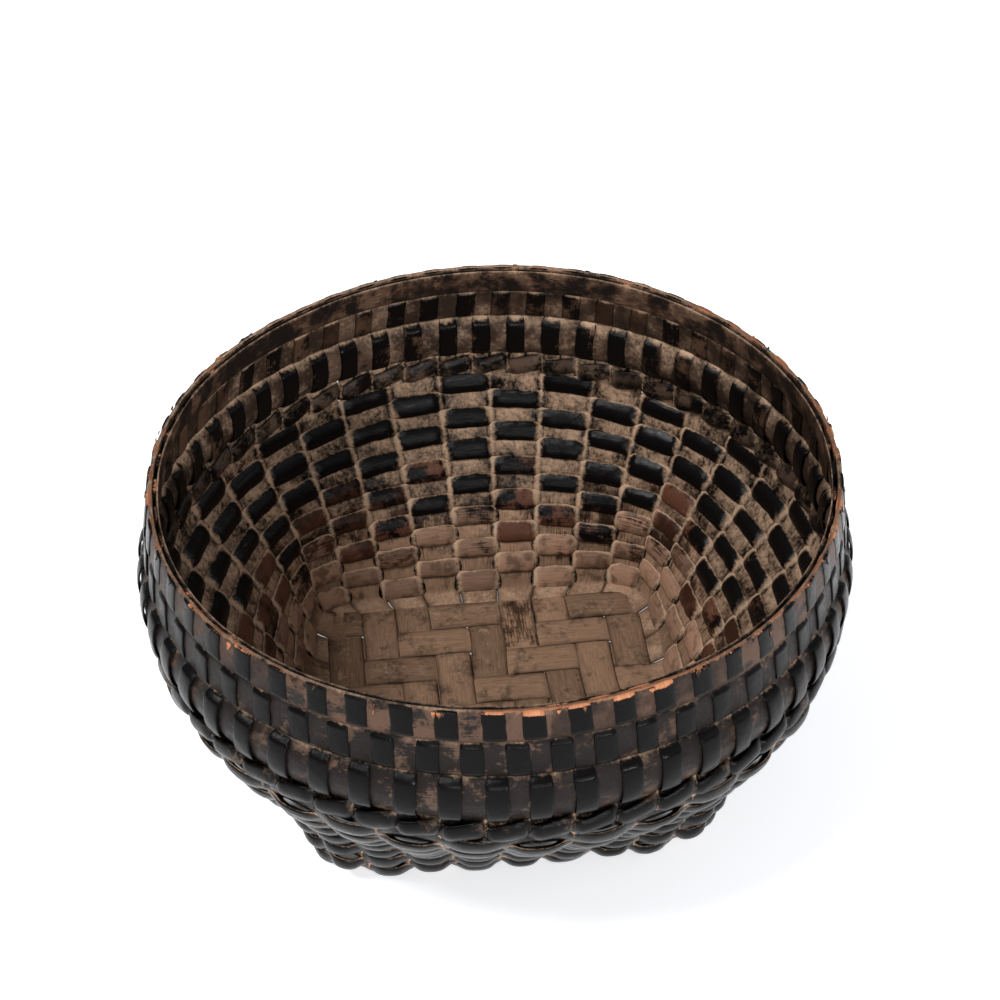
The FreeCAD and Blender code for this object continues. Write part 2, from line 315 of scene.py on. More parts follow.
# %% [markdown]
# ## From a path to a piece
# A run is one stretch of path with its numbers. A piece is one or more runs, such as a
# strip with its six tongues. The path is stored as a mesh of edges, the tree lays the band
# on it, and the result is taken as a plain mesh. Then the piece is told which body it
# rides on, which solid of the frame it stands for, and which finish it has.

# %% One run
EXTRAS = ("along", "thick", "worn", "dust", "bare", "tone", "raw", "raw_edge", "rise", "lean")


def run(mid, aside, out, closed=False, **extras):
    """One stretch of path: points, sideways half widths, outward directions."""
    gone = np.linalg.norm(np.diff(mid, axis=0), axis=1)
    extras = {"thick": 1.0, **extras}
    values = {name: np.broadcast_to(extras.get(name, 0.0), len(mid)) for name in EXTRAS}
    values["along"] = np.r_[0, np.cumsum(gone)]
    if closed:
        ahead = np.roll(mid, -1, axis=0) - np.roll(mid, 1, axis=0)
    else:
        ahead = np.gradient(mid, axis=0)
    facing = unit(np.cross(ahead, aside))
    facing *= np.sign(np.sum(facing * out, axis=1, keepdims=True))
    values["rise"], values["lean"] = unit(aside)[:, 2], facing[:, 2]
    return {"mid": mid, "aside": aside, "out": out, "closed": closed, "values": values}


def path_mesh(name, runs):
    """The runs as a mesh of edges, with all their numbers on its points."""
    points = np.vstack([r["mid"] for r in runs])
    edges, first = [], 0
    for r in runs:
        count = len(r["mid"])
        edges += [(first + i, first + i + 1) for i in range(count - 1)]
        if r["closed"]:
            edges.append((first + count - 1, first))
        first += count
    path = bpy.data.meshes.new(name + "_path")
    path.from_pydata(points.tolist(), edges, [])
    for key in ("mid", "aside", "out"):
        values = np.vstack([r[key] for r in runs])
        path.attributes.new(key, "FLOAT_VECTOR", "POINT").data.foreach_set(
            "vector", np.ascontiguousarray(values, dtype=np.float32).ravel())
    for key in EXTRAS:
        values = np.concatenate([r["values"][key] for r in runs])
        path.attributes.new(key, "FLOAT", "POINT").data.foreach_set(
            "value", np.ascontiguousarray(values, dtype=np.float32))
    return path


print("numbers on each point:", EXTRAS)


# %% One piece
def lay(name, runs, finish, thickness, crown=0.0002, ridges=0.0002, corners=16):
    """Sweep every run of a piece and hand the finished mesh to the frame."""
    path = path_mesh(name, runs)
    rough = bpy.data.objects.new(name + "_rough", path)
    bpy.context.collection.objects.link(rough)
    sweep = rough.modifiers.new("Lay", "NODES")
    sweep.node_group = lay_a_band
    sizes = {"Corners": corners, "Thickness": thickness, "Crown": crown, "Ridges": ridges,
             "Seed": float(rng.uniform(0, 50)), "Finish": finish}
    for socket in lay_a_band.interface.items_tree:
        if socket.in_out == "INPUT" and socket.name in sizes:
            sweep[socket.identifier] = sizes[socket.name]
    graph = bpy.context.evaluated_depsgraph_get()
    mesh = bpy.data.meshes.new_from_object(rough.evaluated_get(graph), depsgraph=graph)
    bpy.data.objects.remove(rough)
    bpy.data.meshes.remove(path)
    for key in ("mid", "aside", "out"):
        mesh.attributes.remove(mesh.attributes[key])
    turned = bmesh.new()
    turned.from_mesh(mesh)
    bmesh.ops.recalc_face_normals(turned, faces=turned.faces)
    turned.to_mesh(mesh)
    turned.free()
    mesh.name = name
    piece = bpy.data.objects.new(name, mesh)
    bpy.context.collection.objects.link(piece)
    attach(piece, "root")
    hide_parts(name)
    return piece


print("pieces still to replace:", len(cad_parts))

# %% [markdown]
# ## Finishes
# The whole basket was once coated in black lacquer. Hands and fruit have rubbed it brown,
# then through to the bamboo on the floor, and dust has settled on every ledge. Each finish
# is the same stack: bare bamboo with grain, brown under-lacquer, black top lacquer and
# dust. The bands' own numbers say how much of each, and noise breaks up the edges.

# %% Shader helpers
def mix_colour(tree, amount, low, high):
    node = tree.nodes.new("ShaderNodeMix")
    node.data_type = "RGBA"
    for socket, value in ((node.inputs[0], amount), (node.inputs[6], low),
                          (node.inputs[7], high)):
        if isinstance(value, bpy.types.NodeSocket):
            tree.links.new(value, socket)
        else:
            socket.default_value = value if socket.type == "VALUE" else (*value, 1.0)
    return node.outputs[2]


def ramp(tree, value, low, high, bottom=0.0, top=1.0):
    """Turn a value between two limits into a soft 0 to 1."""
    node = add(tree, "ShaderNodeMapRange", {"Value": value, "From Min": low, "From Max": high,
                                            "To Min": bottom, "To Max": top})
    node.interpolation_type = "SMOOTHSTEP"
    return node.outputs[0]


def speckle(tree, where, scale, detail, rough):
    return add(tree, "ShaderNodeTexNoise", {"Vector": where, "Scale": scale, "Detail": detail,
                                            "Roughness": rough}).outputs["Fac"]


def centred(tree, value, size):
    """A noise of 0 to 1 as a push of up to half the size either way."""
    return times(tree, minus(tree, value, 0.5), size)


def near_edge(tree, across, sharpness):
    """0 over most of the band and 1 at its two edges."""
    return sums(tree, "POWER", sums(tree, "ABSOLUTE", across), sharpness)


def scaled(colour, by):
    return tuple(min(1, c * by) for c in colour)


print("half of a mid grey:", scaled((0.2, 0.2, 0.2), 0.5))


# %% The noises and numbers a finish reads
def noises(tree, mark):
    """Grain and fibre run along the band; the others fill space, from coarse to fine."""
    where = tree.nodes.new("ShaderNodeTexCoord").outputs["Object"]
    grain_at = add(tree, "ShaderNodeCombineXYZ",
                   {0: times(tree, mark["along"], 55.0), 1: times(tree, mark["across"], 9.0),
                    2: times(tree, mark["tone"], 37.0)}).outputs[0]
    drawn_out = add(tree, "ShaderNodeVectorMath", {0: grain_at, 1: (0.6, 5.0, 1.0)},
                    operation="MULTIPLY").outputs[0]
    return {"grain": speckle(tree, grain_at, 1.6, 5.0, 0.65),
            "fibre": speckle(tree, drawn_out, 1.5, 3.0, 0.6),
            "patches": speckle(tree, where, 75.0, 5.0, 0.62),
            "dents": speckle(tree, where, 170.0, 2.0, 0.5),
            "fine": speckle(tree, where, 480.0, 4.0, 0.7),
            "crumbs": speckle(tree, where, 1300.0, 2.0, 0.6)}


def marks(tree):
    """The numbers that the band carries on its faces."""
    keys = [key for key in EXTRAS if key != "thick"] + ["across", "through"]
    return {key: add(tree, "ShaderNodeAttribute", attribute_name=key).outputs["Fac"]
            for key in keys}


print("a finish reads", len(EXTRAS) + 1, "numbers and 6 noises")


# %% The colours under the black
def bare_bamboo(tree, noise, tone, bare):
    """Light and dark fibres, some bands lighter than others, stained in patches."""
    wood = mix_colour(tree, ramp(tree, noise["fibre"], 0.3, 0.7), scaled(bare, 0.3), bare)
    light = ramp(tree, plus(tree, noise["grain"], times(tree, tone, 0.35)), 0.35, 0.95)
    wood = mix_colour(tree, light, wood, scaled(bare, 1.45))
    stain = plus(tree, noise["patches"], centred(tree, noise["dents"], 0.5))
    stain = times(tree, ramp(tree, stain, 0.50, 0.68), 0.75)
    return mix_colour(tree, stain, wood, scaled(bare, 0.3))


def brown_coat(tree, noise, tone, brown):
    depth = ramp(tree, plus(tree, noise["patches"], centred(tree, tone, 0.35)), 0.35, 0.65)
    return mix_colour(tree, depth, scaled(brown, 0.35), brown)


def fresh_break(tree, noise):
    """Bamboo that was never coated, where the rim is rubbed or torn."""
    return mix_colour(tree, ramp(tree, noise["fibre"], 0.3, 0.65),
                      (0.23, 0.075, 0.032), (0.60, 0.27, 0.14))


print("under the black:", [f.__name__ for f in (brown_coat, bare_bamboo, fresh_break)])


# %% How much is rubbed, bared and torn
def wear(tree, noise, mark, shelter):
    """Three masks: where the black has gone, where the brown has, and what is torn."""
    worn = minus(tree, mark["worn"], times(tree, shelter, 0.6))
    worn = plus(tree, worn, centred(tree, noise["patches"], 1.3),
                centred(tree, noise["fine"], 0.5), centred(tree, noise["grain"], 0.5),
                times(tree, near_edge(tree, mark["across"], 5.0), 0.12))
    bared = plus(tree, mark["bare"], centred(tree, noise["grain"], 0.8),
                 centred(tree, noise["patches"], 1.1))
    torn = times(tree, mark["raw_edge"], ramp(tree, mark["across"], 0.84, 0.97))
    torn = plus(tree, mark["raw"], torn, centred(tree, noise["grain"], 0.9),
                centred(tree, noise["patches"], 1.4))
    return (ramp(tree, worn, 0.44, 0.60), ramp(tree, minus(tree, bared, shelter), 0.42, 0.62),
            ramp(tree, torn, 0.52, 0.68))


# %% How much dust has settled
def settled(tree, noise, mark, shelter, torn, edge_dust):
    """Dust lies on upper edges, on faces that look up and in hollows, in crumbs."""
    across = mark["across"]
    upper = times(tree, near_edge(tree, across, 5.5), sums(tree, "SIGN", across))
    ledge = larger(tree, times(tree, mark["rise"], upper), 0.0)
    facing = larger(tree, times(tree, mark["lean"], mark["through"]), 0.0)
    facing = times(tree, facing, facing)
    dusty = plus(tree, mark["dust"], times(tree, ledge, edge_dust), times(tree, facing, 0.32),
                 centred(tree, noise["fine"], 0.6), centred(tree, noise["patches"], 0.8))
    dusty = ramp(tree, minus(tree, dusty, times(tree, shelter, 0.4)), 0.40, 0.84)
    dusty = times(tree, dusty, ramp(tree, noise["crumbs"], 0.25, 0.6, 0.6, 1.0))
    return times(tree, dusty, minus(tree, 1.0, times(tree, torn, 0.8)))


# %% How rough and how uneven the face is
def rough_and_uneven(tree, noise, rubbed, bared, torn, dusty, gloss, bump):
    """Lacquer stays smooth and shiny; dust, bare bamboo and breaks are dull and gritty."""
    dull = larger(tree, ramp(tree, dusty, 0.25, 0.8), times(tree, bared, 0.5))
    dull = larger(tree, dull, larger(tree, times(tree, rubbed, 0.15), torn))
    rough = plus(tree, gloss, times(tree, dull, 0.9 - gloss),
                 centred(tree, noise["fine"], 0.1), centred(tree, noise["patches"], 0.2))
    grit = plus(tree, noise["fine"], times(tree, noise["crumbs"], 0.4))
    grit = times(tree, grit, plus(tree, 0.03, times(tree, dull, 0.6)))
    relief = plus(tree, times(tree, noise["dents"], 2.4), times(tree, noise["fibre"], 0.7),
                  grit)
    uneven = add(tree, "ShaderNodeBump", {"Height": relief, "Strength": bump,
                                          "Distance": 0.0008})
    return rough, uneven.outputs[0]


print("masks and relief are made by", wear.__name__, settled.__name__,
      rough_and_uneven.__name__)


# %% One finish maker
def old_lacquer(name, colours, gloss, edge_dust, sheltered, shine, bump):
    """Bamboo under worn lacquer. The colours are black, brown, bare and dust, linear RGB."""
    black, brown, bare, dust = colours
    material = bpy.data.materials.new(name)
    material.use_nodes = True
    tree = material.node_tree
    tree.nodes.clear()
    mark = marks(tree)
    noise = noises(tree, mark)
    # The outer face has been rubbed and dusted far less than the inner one.
    shelter = times(tree, sums(tree, "GREATER_THAN", mark["through"], 0.0), sheltered)
    rubbed, bared, torn = wear(tree, noise, mark, shelter)
    dusty = settled(tree, noise, mark, shelter, torn, edge_dust)
    colour = mix_colour(tree, rubbed, black, brown_coat(tree, noise, mark["tone"], brown))
    colour = mix_colour(tree, bared, colour, bare_bamboo(tree, noise, mark["tone"], bare))
    colour = mix_colour(tree, torn, colour, fresh_break(tree, noise))
    colour = mix_colour(tree, dusty, colour, dust)
    # The very edges of each band are made darker, towards half the black, where no dust lies.
    edge_darkening = times(tree, near_edge(tree, mark["across"], 8.0), 0.75)
    colour = mix_colour(tree, times(tree, edge_darkening, minus(tree, 1.0, dusty)), colour,
                        scaled(black, 0.5))
    rough, uneven = rough_and_uneven(tree, noise, rubbed, bared, torn, dusty, gloss, bump)
    shader = add(tree, "ShaderNodeBsdfPrincipled",
                 {"Base Color": colour, "Roughness": rough, "Normal": uneven,
                  "Specular IOR Level": shine})
    end = tree.nodes.new("ShaderNodeOutputMaterial")
    tree.links.new(shader.outputs[0], end.inputs[0])
    return material


print("ready to coat with", old_lacquer.__name__)


# %% The five finishes
black, faded_black = (0.0036, 0.0030, 0.0029), (0.012, 0.009, 0.008)
dust = (0.450, 0.298, 0.196)
strip_finish = old_lacquer(
    "strip_bamboo", (black, (0.070, 0.038, 0.024), (0.215, 0.128, 0.080), dust),
    gloss=0.18, edge_dust=0.4, sheltered=0.5, shine=0.07, bump=0.20)
weaver_finish = old_lacquer(
    "lacquered_weaver", (black, (0.095, 0.038, 0.022), (0.240, 0.138, 0.090), dust),
    gloss=0.17, edge_dust=0.75, sheltered=0.6, shine=0.12, bump=0.22)
twine_finish = old_lacquer(
    "twined_cane", (black, (0.070, 0.045, 0.031), (0.24, 0.15, 0.10), dust),
    gloss=0.18, edge_dust=0.3, sheltered=0.3, shine=0.09, bump=0.20)
hoop_finish = old_lacquer(
    "hoop_bamboo",
    (faded_black, (0.085, 0.052, 0.036), (0.18, 0.12, 0.08), (0.38, 0.255, 0.168)),
    gloss=0.30, edge_dust=0.40, sheltered=0.58, shine=0.08, bump=0.4)
rim_finish = old_lacquer(
    "rim_bamboo",
    (faded_black, (0.090, 0.050, 0.033), (0.22, 0.13, 0.08), (0.36, 0.24, 0.16)),
    gloss=0.30, edge_dust=0.4, sheltered=0.2, shine=0.10, bump=0.4)
print("finishes:", [finish.name for finish in (strip_finish, weaver_finish, twine_finish,
                                               hoop_finish, rim_finish)])


# %% [markdown]
# ## Over and under
# In a plain weave each band swaps sides between one crossing and the next. A cosine does
# that, flattened at its tops so that a band lies along the strip it crosses and dives
# quickly through the gap. Every crossing also gets its own small numbers, such as how worn
# it is, from one table that all pieces read.

# %% Weave helpers
def swap(phase, crisp=2.6):
    """+1 and -1 by turns with whole numbers of phase, flat at each."""
    wave = np.cos(np.pi * phase) * crisp
    return wave / (1 + np.abs(wave) ** 3) ** (1 / 3)


def drift(seed, x, size, step=1.0):
    """A smooth random wander with a given size and spacing."""
    knots = np.random.default_rng(seed).normal(0, 1, 400)
    at = np.asarray(x, float) / step
    base = np.floor(at).astype(int)
    part = smooth(at - base)
    return size * (knots[base % 397] * (1 - part) + knots[(base + 1) % 397] * part)


row_centre = floor_edge_run + (np.arange(weaver_count) + 0.5) * weaver_pitch
worn_in = rng.random((weaver_count + 1, stakes))
worn_out = rng.random((weaver_count + 1, stakes))
tone_of = rng.random((weaver_count + 1, stakes))
tilt_of = rng.random((weaver_count + 1, stakes))
print("rows at", (row_centre * 1e3).round(1))


# %% [markdown]
# ## Weavers
# Thirteen narrow weavers go round the wall. On the inside and the outside they show only
# as floats: short black pads, each a little wider than the gap it fills. The path runs
# round at the row's height and swaps sides at every strip. The band grows wider at each
# float and narrower where it dives. The lowest rows stand out furthest.

# %% The shape of a weaver
weaver_steps = 18
dive_lift, out_lift, in_lift = 0.0013, 0.0021, 0.0006
weaver_half, out_extra, in_extra = 0.0055, 0.0006, 0.0005
foot_extra = 0.0012
table_clearance = 0.0006


def weaver_path(row, place, near, way, flat, low):
    """Middle line, sideways half widths and outward directions of one weaver."""
    foot = foot_extra * (row == 0)
    along = row_centre[row] + drift(100 + row, place, 0.0003, 2.3)
    along = along + flat * (tilt_of[row, near] - 0.5) * 0.0015 - foot
    lift = dive_lift + np.where(way > 0, out_lift, in_lift) * flat
    lift = lift + (0.0005 + 0.0009 * low) * (way > 0) * flat
    lift = lift + 0.0005 * (worn_out[row, near] - 0.5) * flat
    mid, out = wall(place, along), outward(place, along)
    mid = mid + out * (way * lift)[:, None]
    ahead = unit(np.roll(mid, -1, axis=0) - np.roll(mid, 1, axis=0))
    slant = flat * (tilt_of[(row + 5) % weaver_count, near] - 0.5) * 0.8
    up = unit(np.cross(out, ahead)) + ahead * slant[:, None]
    half = weaver_half + np.where(way > 0, out_extra, in_extra) * flat
    half = half + drift(200 + row, place, 0.0002, 0.17)
    half = half + flat * 0.0014 * (tone_of[row, near] - 0.5) + foot
    # The lowest weaver rests on the table and never goes through it.
    spare = mid[:, 2] - half * np.abs(up[:, 2]) - table_clearance
    mid[:, 2] = mid[:, 2] - np.minimum(spare, 0.0)
    return mid, up * half[:, None], out


print("weaver floats are %.1f mm tall" % (2e3 * (weaver_half + out_extra)))


# %% One weaver
def weaver(row):
    place = np.arange(stakes * weaver_steps) / weaver_steps - 0.5
    near = np.round(place).astype(int) % stakes
    phase = place + row + 1
    way = np.where(swap(phase) > 0, swap(phase, 1.5), swap(phase, 3.0))
    flat = np.abs(way) ** 2
    low = max(0.0, 1 - row / 6)
    mid, aside, out = weaver_path(row, place, near, way, flat, low)
    # Worn to brown and bare low down inside, still black higher up and outside.
    level, inside = (row + 0.5) / weaver_count, way < 0
    inner = np.clip(1.15 - 1.5 * level + 0.7 * (worn_in[row, near] - 0.5), 0, 1)
    outer = np.clip(0.10 + 0.35 * (worn_out[row, near] - 0.5), 0, 1)
    bare = np.clip(1.10 - 2.3 * level + 0.5 * (tilt_of[row, near] - 0.5), 0, 1)
    dust_here = 0.65 * (1 - np.abs(way)) + 0.10 * inside + 0.10 * (1 - level) * inside
    runs = [run(mid, aside, out, True, worn=np.where(inside, inner, outer),
                bare=np.where(inside, bare, 0.0), dust=dust_here, tone=tone_of[row, near],
                thick=1 + 0.3 * low * flat * (way > 0))]
    return lay("weaver_%02d" % (row + 1), runs, weaver_finish,
               weaver_thickness, 0.0013, 0.0003)


weavers = [weaver(row) for row in range(weaver_count)]
print("weavers:", len(weavers), "with", len(weavers[0].data.polygons), "faces each")


# %% [markdown]
# ## Tongues
# At the top of the woven wall each strip end is slit into three tongues, which go in and
# out round the stiff hoops and finish at the rim. Every other tongue is long enough to
# fold over the rim hoop. How far a tongue stands off the wall follows the hoops' own
# rounded section, so a tongue lies on its hoop without any fitting by hand.

# %% How a tongue goes round the hoops
bead_swell = 0.0012
bead_start = weave_top + twine_row
flat_start = bead_start + bead_row
hoop_rows = []
start = bead_start
for height, middle in ((bead_row, bead_thickness / 2 + bead_swell),
                       (hoop_row, hoop_thickness / 2), (rim_row, hoop_thickness / 2)):
    hoop_rows.append((start + row_gap / 2, start + height - row_gap / 2, middle))
    start += height


def hoop_swell(along, low, high, middle):
    """Half the thickness of a hoop at a height of its rounded section."""
    share = np.clip((along - low) / (high - low), 0, 1)
    edge = hoop_thickness / 2
    return edge + (middle - edge) * np.sqrt(np.clip(1 - (2 * share - 1) ** 2, 0, 1))


def tongue_stand(along, way):
    """Offset of a tongue from the wall's middle, and how far it is on top of a hoop."""
    stand, seen = np.zeros_like(along), np.zeros_like(along)
    slope = 0.0014
    for index, (low, high, middle) in enumerate(hoop_rows):
        turn = way if index % 2 == 0 else -way
        off = hoop_swell(along, low, high, middle) + strip_thickness / 2 + 0.0003
        inside = smooth((along - low + slope) / (2 * slope))
        if index < 2:
            inside = inside * smooth((high + slope - along) / (2 * slope))
        stand += turn * off * inside
        seen += turn * inside
    return stand, seen


print("hoop rows, mm:", [(round(low * 1e3, 1), round(high * 1e3, 1))
                         for low, high, _ in hoop_rows])


# %% Where the rim is rubbed down to raw bamboo
def raw_at(place):
    """0 to 1 round the rim: bright in front, frayed on the right, a thin line elsewhere."""
    spots = [0, 2.2, 2.8, 3.7, 5.9, 6.6, 9, 13, 16, 19, 22, 27, 30, 33, 36]
    share = [0.45, 0.35, 0.35, 0.98, 0.98, 0.5, 0.55, 0.6, 0.5, 0.45, 0.4, 0.45, 0.5, 0.5,
             0.45]
    return np.interp(np.mod(place, stakes), spots, share)


print("raw bamboo in front:", raw_at(5))


# %% One tongue
def folded(tongue_run, stand, raw_here):
    """The same tongue, carried over the rim hoop and a little way down inside."""
    mid, aside, out = (tongue_run[key] for key in ("mid", "aside", "out"))
    tip, push, rise = mid[-1], out[-1], unit((mid[-1] - mid[-2])[None])[0]
    bend = np.linspace(0, np.pi / 2, 7)[1:]
    over = [tip + rise * (0.0003 + 0.0004 * np.sin(b)) - push * (stand * 1.25 * (1 - np.cos(b)))
            for b in bend]
    over_out = [push * np.cos(b) + rise * np.sin(b) for b in bend]
    ends = {"mid": over, "out": over_out, "aside": np.repeat(aside[-1:], len(bend), 0)}
    longer = {key: np.vstack([tongue_run[key], end]) for key, end in ends.items()}
    for key, end in (("thick", np.linspace(0.9, 0.55, len(bend))), ("worn", 0.45),
                     ("dust", 0.05), ("bare", 0.3), ("raw", raw_here)):
        longer[key] = np.r_[tongue_run[key], np.broadcast_to(end, len(bend))]
    return longer


def tongue(side, number, which, tone):
    """One of the three tongues of a strip's end; odd and even ones take turns."""
    place = side * strips_per_side + number + (which - 1) / 3
    order = round(place * 3 + 1)
    way = 1 if order % 2 else -1
    along = np.linspace(split_at - 0.004, wall_length, 84)
    stand, seen = tongue_stand(along, way)
    shift = drift(500 + order, along, 0.012, 0.02) + drift(900 + order, along * 0, 0.012)
    spread = smooth((along - split_at + 0.002) / 0.008)
    centre = place + shift * spread - 0.07 * ((along - flat_start) / 0.03).clip(0)
    mid, out = wall(centre, along), outward(centre, along)
    aside = unit(wall(centre + 0.1, along) - wall(centre - 0.1, along))
    half = 0.0040 + 0.0006 * spread + 0.0006 * np.abs(seen) * spread
    half = half + drift(40 + order, along, 0.00012, 0.004)
    above = smooth((along - flat_start) / 0.002)
    worn = np.where(seen > 0, 0.14, 0.30 + 0.24 * above) + 0.4 * (rng.random() - 0.5)
    bare = np.full_like(along, 0.25 * rng.random())
    raw = raw_at(place) * smooth((along - wall_length + 0.003) / 0.004)
    parts = {"mid": mid + out * stand[:, None], "aside": aside * half[:, None], "out": out,
             "worn": worn, "bare": bare, "raw": raw * (0.4 + 0.7 * rng.random()),
             "dust": 0.55 * (1 - np.abs(seen)) + 0.05 + (seen < 0) * (0.08 + 0.14 * above),
             "thick": np.ones_like(along)}
    if way > 0:
        parts = folded(parts, stand[-1], raw_at(place))
    return run(**parts, tone=tone)


print("tongues:", 2 * 3 * 2 * strips_per_side)


# %% A torn flake at the rim
def flake(place):
    """A torn flake of raw bamboo lying against the outside of the rim."""
    tall = np.linspace(-0.0012 - 0.0045 * rng.random() ** 2, 0.0004, 7)
    lean = 0.10 * (rng.random() - 0.5)
    spot = place + 0.30 * (rng.random() - 0.5) + lean * (tall / 0.006)
    along = wall_length + tall
    out = outward(spot, along)
    off = 0.0026 + 0.0005 * rng.random() * np.linspace(1, 0, 7) ** 2
    mid = wall(spot, along) + out * off[:, None]
    aside = unit(wall(spot + 0.1, along) - wall(spot - 0.1, along))
    half = (0.0005 + 0.0012 * rng.random()) * np.array([0.12, 0.35, 0.6, 0.8, 0.95, 1, 1])
    return run(mid, aside * half[:, None], out, raw=0.5, worn=0.8, bare=0.3, dust=0.1,
               thick=0.35, tone=rng.random())


print("flakes are torn by", flake.__name__)

# %% [markdown]
# ## Wide strips
# Eighteen strips cross on the floor, nine each way, in an over-two under-two twill, and
# run up both sides of the wall as its stakes. A strip is seven runs in one piece: the wide
# middle and six tongues. The wide middle is made in three lengths joined end to end: down
# the near wall, through the floor and up the far wall.

# %% The wall length of a strip
PARTS = ("mid", "aside", "out", "worn", "bare", "dust", "tone")


def strip_on_wall(side, count, way, seed):
    """From the slit down to the floor's edge, in front of one weaver and behind the next."""
    up = np.linspace(split_at, 0.0, 130)
    stake = side * strips_per_side + count
    place = stake + drift(700 + seed, up, 0.012, 0.02) * (up / split_at)
    share = 0.480 + 0.02 * (1 - smooth((up - 0.006) / 0.006))
    share = share + drift(300 + seed + way, up, 0.006, 0.012)
    left, right = wall(place - share, up), wall(place + share, up)
    out = outward(place, up)
    row = (up - floor_edge_run) / weaver_pitch - 0.5
    wave = -swap(row + stake + 1, 1.6) * smooth(up / 0.012)
    # Near the floor the strips lie on each other like shingles.
    shingle = (0.0005 if count % 2 else -0.0003) * smooth(up / 0.003)
    shingle = shingle * (1 - smooth((up - 0.006) / 0.006))
    level = up / split_at
    near_row = np.clip(np.round(row), 0, weaver_count - 1).astype(int)
    tone = tone_of[near_row, stake]
    worn = np.where(wave < 0, 1.05 - 0.6 * level, 0.5) + 0.3 * (worn_in[near_row, stake] - 0.5)
    return {"mid": (left + right) / 2 + out * (0.0004 * wave + shingle)[:, None],
            "aside": (right - left) / 2 * way, "out": out, "worn": worn,
            "bare": np.clip(0.92 - 1.15 * level, 0, 1) + 0.25 * (tone - 0.5),
            "dust": 0.30 + 0.25 * level, "tone": tone}


print("wall length of a strip: %.0f mm" % (split_at * 1e3))


# %% The floor length of a strip
floor_half_width = 0.00993
twill_lift = 0.00072


def floor_over(cross, length):
    """True where cross strip and length strip meet with the cross strip on top."""
    return (strips_per_side - 1 - length + cross) % 4 < 2


def twill(number, crossing, line, reach):
    """How far above or below the floor's middle a strip is along its floor length."""
    if crossing:
        over = [1 if floor_over(number, k) else -1 for k in range(strips_per_side)]
    else:
        over = [-1 if floor_over(k, number) else 1 for k in range(strips_per_side)]
    other = (strips_per_side - 1) / 2 + line / strip_pitch
    before = np.clip(np.floor(other).astype(int), 0, strips_per_side - 1)
    after = np.clip(before + 1, 0, strips_per_side - 1)
    part = smooth(((other - np.floor(other)) - 0.5) / 0.34 + 0.5)
    level = (np.array(over)[before] * (1 - part) + np.array(over)[after] * part) * twill_lift
    return level * smooth((reach - np.abs(line)) / 0.006)


def strip_on_floor(number, crossing, seed, down):
    """Straight across the floor, over and under in twos, from where the wall comes down."""
    local = (number - (strips_per_side - 1) / 2) * strip_pitch
    reach = base_half * (1 - corner_draw * abs(local / base_half) ** 6)
    line = np.linspace(-reach, reach, 132)[1:-1]
    height = floor_mid + twill(number, crossing, line, reach)
    wander = local + drift(800 + seed, line, 0.00045, 0.03)
    count = len(line)
    if crossing:
        mid = np.stack([line, wander, height], -1)[::-1]
        line, sideways = -line, [[0.0, 1.0, 0.0]]
    else:
        mid = np.stack([wander, line, height], -1)
        sideways = [[1.0, 0.0, 0.0]]
    aside = np.repeat(sideways, count, 0)
    if np.dot(aside[0], down["aside"][-1]) < 0:
        aside = -aside
    half = floor_half_width + drift(850 + seed, line, 0.0001, 0.015)
    # Some stretches between crossings are darker, and each has its own tone.
    block = np.floor(np.arange(count) / count * 4.5 + 0.5 * (number % 2)).astype(int)
    dark, tone = np.random.default_rng(5000 + seed).random((2, 8))[:, block]
    return {"mid": mid, "aside": aside * half[:, None],
            "out": np.repeat([[0.0, 0.0, -1.0]], count, 0), "worn": np.ones(count),
            "bare": 0.92 - 0.6 * np.clip(dark - 0.72, 0, 1) / 0.28,
            "dust": np.full(count, 0.12), "tone": tone}


print("cross strip 1 goes over length strips",
      [k + 1 for k in range(strips_per_side) if floor_over(0, k)])


# %% One wide strip
flake_chance = 0.15


def wide_strip(number, crossing):
    """Three lengths joined, then three tongues at each end."""
    seed = 40 * crossing + number
    near, far = (1, 3) if crossing else (0, 2)
    down = strip_on_wall(near, number, 1, seed)
    climb = strip_on_wall(far, strips_per_side - 1 - number, -1, seed)
    climb = {key: climb[key][::-1] for key in PARTS}
    across_floor = strip_on_floor(number, crossing, seed, down)
    rng.random()    # one number passed over, so that every tongue keeps its look
    joined = {key: np.concatenate([down[key], across_floor[key], climb[key]])
              for key in PARTS}
    runs = [run(**joined)]
    for side, count in ((near, number), (far, strips_per_side - 1 - number)):
        for which in range(3):
            runs.append(tongue(side, count, which, rng.random()))
            spot = side * strips_per_side + count + (which - 1) / 3
            for chance in rng.random(3):
                if chance < flake_chance * raw_at(spot):
                    runs.append(flake(spot))
    name = "%s_strip_%d" % ("cross" if crossing else "length", number + 1)
    return lay(name, runs, strip_finish, strip_thickness, 0.0002, 0.00025, 18)


strips = [wide_strip(number, crossing) for crossing in (False, True)
          for number in range(strips_per_side)]
print("strips:", len(strips), "with", len(strips[0].data.polygons), "faces each")


# %% [markdown]
# ## The twined pair
# Two strands twist round each other as they travel round the basket: each climbs in front
# of two tongues, drops behind the next two, and always passes over its partner. From the
# outside this shows as a slanting rope. The path is a flattened helix.

# %% Twined pair
bights, bight_steps = 54, 18
twist_out, twist_up = 0.0024, 0.0020


